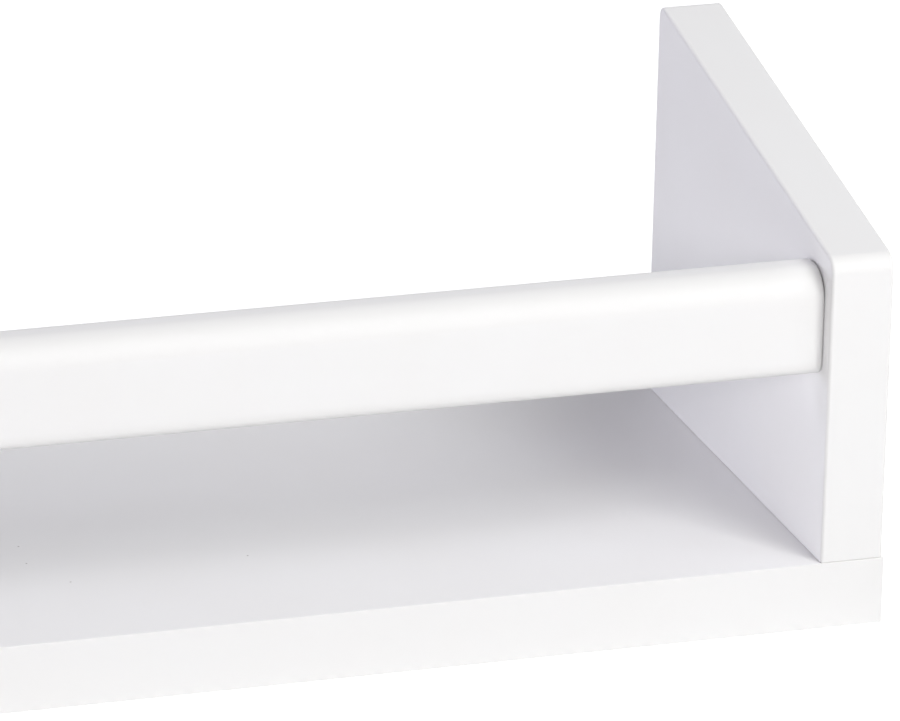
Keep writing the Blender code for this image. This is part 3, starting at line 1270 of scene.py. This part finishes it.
@dataclass
class ShelfBoard:
    """The board that the books stand on, with a few grains of dust on top."""

    node: str = "bottom_board"
    slot: str = "board_lacquer"
    edge_radius: float = 0.0002
    edge_segments: int = 3
    grains: tuple[tuple[float, float], ...] = (
        (0.1100, -0.0026),
        (0.1090, -0.0131),
        (0.1157, -0.0265),
        (0.1591, -0.0214),
    )

    def build(self) -> Object:
        """Model the board with its eased edges and its holes, and lacquer it.

        Returns:
            The board.
        """
        low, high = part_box(self.node)
        board = block(finished(self.node), low, high)
        round_edges(board, self.edge_radius, self.edge_segments, is_square)
        for place in PANEL_PLACES:
            screw, dowel = "panel_screw_" + place, "panel_dowel_" + place
            cut(board, PANEL_SCREWS.bore(screw, CUT_BREAK), DOWELS.bore(dowel))
        grains = tuple((x, y, high.z) for x, y in self.grains)
        return lacquered(board, self.node, AXES, Lacquer(self.slot, grains=grains))


@dataclass
class EndPanel:
    """A tapered panel that stands on one end of the board."""

    side: Side
    slot: str = "panel_lacquer"
    front_height: float = 0.073
    back_height: float = 0.097
    corner_radius: float = 0.0033
    corner_segments: int = 10
    edge_radius: float = 0.0008
    edge_segments: int = 5
    foot_radius: float = 0.0003
    foot_segments: int = 3
    foot_gap: float = 0.00005

    @property
    def node(self) -> str:
        """The panel's solid."""
        return "end_panel_" + self.side.word

    def build(self) -> Object:
        """Model the panel with its taper, its roundings and its holes, and lacquer it.

        Returns:
            The panel.
        """
        low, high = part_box(self.node)
        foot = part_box(ShelfBoard.node)[1].z + self.foot_gap
        peak = low.z + self.back_height
        fall = self.front_height - self.back_height
        panel = block(finished(self.node), Vector((*low.xy, foot)), Vector((*high.xy, peak)))
        with editing(panel, Element.VERT):
            pick_verts(
                panel, lambda vert: vert.co.z > foot + SAME_PLACE and vert.co.y < low.y + SAME_PLACE
            )
            bpy.ops.transform.translate(value=(0.0, 0.0, fall))

        def at_foot(edge: BMEdge) -> bool:
            """Whether an edge lies on the board."""
            return all(vert.co.z < foot + SAME_PLACE for vert in edge.verts)

        for radius, segments, wanted in (
            (self.corner_radius, self.corner_segments, lambda edge: runs_along_x(edge) and not at_foot(edge)),
            (self.edge_radius, self.edge_segments, lambda edge: is_square(edge) and not at_foot(edge)),
            (self.foot_radius, self.foot_segments, lambda edge: is_square(edge) and at_foot(edge)),
        ):
            round_edges(panel, radius, segments, wanted)
        cut(panel, *self.holes())
        slope = Vector((0.0, fall, high.y - low.y)).normalized()
        return lacquered(panel, self.node, (*AXES, slope), Lacquer(self.slot))

    def holes(self) -> list[Object]:
        """Make every hole in this panel.

        Returns:
            The tools that cut them.
        """
        side = self.side.word
        tools = [PANEL_SCREWS.bore(f"panel_screw_{side}_{row}", CUT_BREAK) for row in ROWS]
        tools += [DOWELS.bore(f"panel_dowel_{side}_{row}") for row in ROWS]
        cap_low, cap_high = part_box("screw_cap_" + side)
        tools.append(RAIL_SCREWS.bore("rail_screw_" + side, cap_high.x - cap_low.x))
        tools.append(DOWELS.bore("rail_dowel_" + side))
        tools += PLATES.recesses("keyhole_plate_" + side)
        tools += [PLATE_SCREWS.bore(f"plate_screw_{side}_{level}", CUT_BREAK) for level in LEVELS]
        return tools


@dataclass
class FrontRail:
    """The rounded rail that keeps the books from sliding off, whose ends lean off the panels at the top."""

    node: str = "front_rail"
    slot: str = "rail_lacquer"
    top_radius: float = 0.0065
    top_segments: int = 16
    bottom_radius: float = 0.0060
    bottom_segments: int = 14
    bottom_fullness: float = 0.75
    end_radius: float = 0.0009
    end_segments: int = 6
    end_fullness: float = 0.60
    end_gap: float = 0.00001
    top_gap: float = 0.0003
    lean_height: float = 0.0085

    def build(self) -> Object:
        """Model the rail with its leaning ends, its roundings and its holes, and lacquer it.

        Returns:
            The rail.
        """
        low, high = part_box(self.node)
        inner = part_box(EndPanel(Side.RIGHT).node)[0].x
        reach = Vector((inner - self.end_gap - high.x, 0.0, 0.0))
        rail = block(finished(self.node), low - reach, high + reach)
        shoulder = high.z - self.lean_height
        with editing(rail, Element.VERT):
            bpy.ops.mesh.select_all(action="SELECT")
            bpy.ops.mesh.bisect(plane_co=(0.0, 0.0, shoulder), plane_no=(0.0, 0.0, 1.0))
            bpy.ops.mesh.select_all(action="DESELECT")
            pick_verts(rail, lambda vert: vert.co.z > shoulder + SAME_PLACE)
            share = (inner - self.top_gap) / (inner - self.end_gap)
            bpy.ops.transform.resize(value=(share, 1.0, 1.0), center_override=ORIGIN)

        def on_top(edge: BMEdge) -> bool:
            """Whether an edge lies above the shoulder that the ends lean off from."""
            return all(vert.co.z > shoulder + SAME_PLACE for vert in edge.verts)

        round_edges(
            rail, self.top_radius, self.top_segments, lambda edge: runs_along_x(edge) and on_top(edge)
        )
        round_edges(
            rail,
            self.bottom_radius,
            self.bottom_segments,
            lambda edge: runs_along_x(edge) and is_square(edge),
            self.bottom_fullness,
        )
        round_edges(rail, self.end_radius, self.end_segments, is_square, self.end_fullness)
        for side in Side:
            screw, dowel = "rail_screw_" + side.word, "rail_dowel_" + side.word
            cut(rail, RAIL_SCREWS.bore(screw, CUT_BREAK), DOWELS.bore(dowel))
        return lacquered(rail, self.node, AXES, Lacquer(self.slot))


# Studio


@dataclass(frozen=True)
class SoftBox:
    """An area light that looks at the ledge."""

    name: str
    azimuth: float
    elevation: float
    power: float
    width: float = 0.5
    height: float = 0.5
    distance: float = 2.0
    tint: Colour = (1.0, 1.0, 1.0)

    def add(self, target: Vector) -> Object:
        """Put the light up.

        Args:
            target: The point that it looks at.

        Returns:
            The light.
        """
        lamp = bpy.data.lights.new(self.name, "AREA")
        lamp.shape = "RECTANGLE"
        lamp.size = self.width
        lamp.size_y = self.height
        lamp.energy = self.power
        lamp.color = self.tint
        light = bpy.data.objects.new(self.name, lamp)
        bpy.context.scene.collection.objects.link(light)
        turn, rise = math.radians(self.azimuth), math.radians(self.elevation)
        outward = Vector((math.sin(turn) * math.cos(rise), -math.cos(turn) * math.cos(rise), math.sin(rise)))
        light.location = target + outward * self.distance
        light.rotation_euler = outward.to_track_quat("Z", "Y").to_euler()
        return light


@dataclass(frozen=True)
class Viewpoint:
    """The camera, where the edges of the ledge in the photograph place it."""

    place: tuple[float, float, float] = (-0.3523, -1.6805, 0.7109)
    azimuth: float = 18.622
    fall: float = 20.420
    roll: float = 1.393
    lens: float = 327.03
    sensor: float = 36.0

    def add(self) -> Object:
        """Put the camera up and make it the scene's own.

        Returns:
            The camera.
        """
        data = bpy.data.cameras.new("viewpoint")
        data.lens = self.lens
        data.sensor_width = self.sensor
        camera = bpy.data.objects.new("viewpoint", data)
        bpy.context.scene.collection.objects.link(camera)
        turn, fall, roll = (math.radians(angle) for angle in (self.azimuth, self.fall, self.roll))
        forward = Vector((math.sin(turn) * math.cos(fall), math.cos(turn) * math.cos(fall), -math.sin(fall)))
        level = Vector((math.cos(turn), -math.sin(turn), 0.0))
        upward = level.cross(forward)
        right = level * math.cos(roll) + upward * math.sin(roll)
        turned_axes = Matrix((right, right.cross(forward), -forward)).transposed()
        camera.matrix_world = Matrix.Translation(self.place) @ turned_axes.to_4x4()
        bpy.context.scene.camera = camera
        return camera


@dataclass(frozen=True)
class Studio:
    """A pale floor under soft light from all round, in front of white."""

    focus: tuple[float, float, float] = (0.15, 0.0, 0.05)
    floor_radius: float = 12.0
    floor_colour: float = 0.80
    floor_glow: float = 0.90
    floor_shade: float = 0.40
    ambient: float = 0.06
    # Each light by its name, azimuth and elevation in degrees, and power in watts
    lights: tuple[SoftBox, ...] = (
        SoftBox("key_strip", 30.0, 34.0, 16.8, width=0.6, height=1.2, tint=(1.0, 1.0, 0.975)),
        SoftBox("front_key", 15.0, 34.0, 5.1, width=0.33, height=0.33, tint=(0.99, 1.0, 0.98)),
        SoftBox("high_key", 45.0, 44.0, 8.7, width=1.3, height=0.6, tint=(0.93, 0.92, 1.0)),
        SoftBox("right_bank", 85.0, 54.0, 8.1, width=2.3, height=1.3, tint=(0.98, 1.0, 0.96)),
        SoftBox("left_bank", -50.0, 14.0, 9.9, height=0.3, tint=(0.99, 0.95, 1.0)),
        SoftBox("cool_fill", -130.0, 3.0, 10.7, height=0.3, tint=(0.87, 0.88, 1.0)),
        SoftBox("wall_rim", -160.0, 37.0, 9.9, tint=(0.89, 0.855, 1.0)),
    )

    def build(self) -> None:
        """Put up the floor, the white surround, the lights and the camera."""
        bpy.context.scene.view_settings.view_transform = "Standard"
        self.add_floor(CAD_BOX[0].z)
        self.add_surround()
        for light in self.lights:
            light.add(Vector(self.focus))
        Viewpoint().add()

    @staticmethod
    def seen(shading: Shading) -> NodeSocket:
        """Tell rays that show the background: straight ones, mirrored ones and ones through glass.

        Args:
            shading: The shading that asks.

        Returns:
            1 for such rays, and 0 for all others.
        """
        rays = shading.add("LightPath").outputs
        mirrored = shading.math("MAXIMUM", rays["Is Glossy Ray"], rays["Is Transmission Ray"])
        return shading.math("MAXIMUM", rays["Is Camera Ray"], mirrored)

    def add_floor(self, height: float) -> None:
        """Lay the floor: it glows almost white where it is seen, and the object's shadow dims the rest.

        Args:
            height: Height of the floor.
        """
        floor = disc("floor", self.floor_radius, height)
        finish = bpy.data.materials.new("floor")
        finish.use_nodes = True
        shading = Shading(finish.node_tree)
        seen = self.seen(shading)
        colour = shading.mixed(seen, (self.floor_colour,) * 3, (self.floor_shade,) * 3)
        matt = shading.add("BsdfDiffuse", {"Color": colour})
        glow = shading.add("Emission", {"Strength": shading.math("MULTIPLY", seen, self.floor_glow)})
        both = shading.add("AddShader", {0: matt.outputs["BSDF"], 1: glow.outputs["Emission"]})
        shading.add("OutputMaterial", {"Surface": both.outputs["Shader"]})
        floor.data.materials.append(finish)

    def add_surround(self) -> None:
        """Make the world white where it is seen, and a plain soft light elsewhere."""
        world = bpy.data.worlds.new("surround")
        world.use_nodes = True
        bpy.context.scene.world = world
        shading = Shading(world.node_tree)
        light = shading.add("Background", {"Color": WHITE, "Strength": self.ambient}).outputs["Background"]
        white = shading.add("Background", {"Color": WHITE, "Strength": 1.0}).outputs["Background"]
        both = shading.add("MixShader", {0: self.seen(shading), 1: light, 2: white})
        shading.add("OutputWorld", {"Surface": both.outputs["Shader"]})


def main() -> None:
    """Model and dress the ledge piece by piece, then set up its studio."""
    logging.basicConfig(level=logging.INFO, format="%(message)s")
    ShelfBoard().build()
    for side in Side:
        EndPanel(side).build()
    FrontRail().build()
    for hardware in (PANEL_SCREWS, RAIL_SCREWS, PLATE_SCREWS, DOWELS, CAPS, PLATES):
        hardware.build()
    Studio().build()


if __name__ == "__main__":
    main()
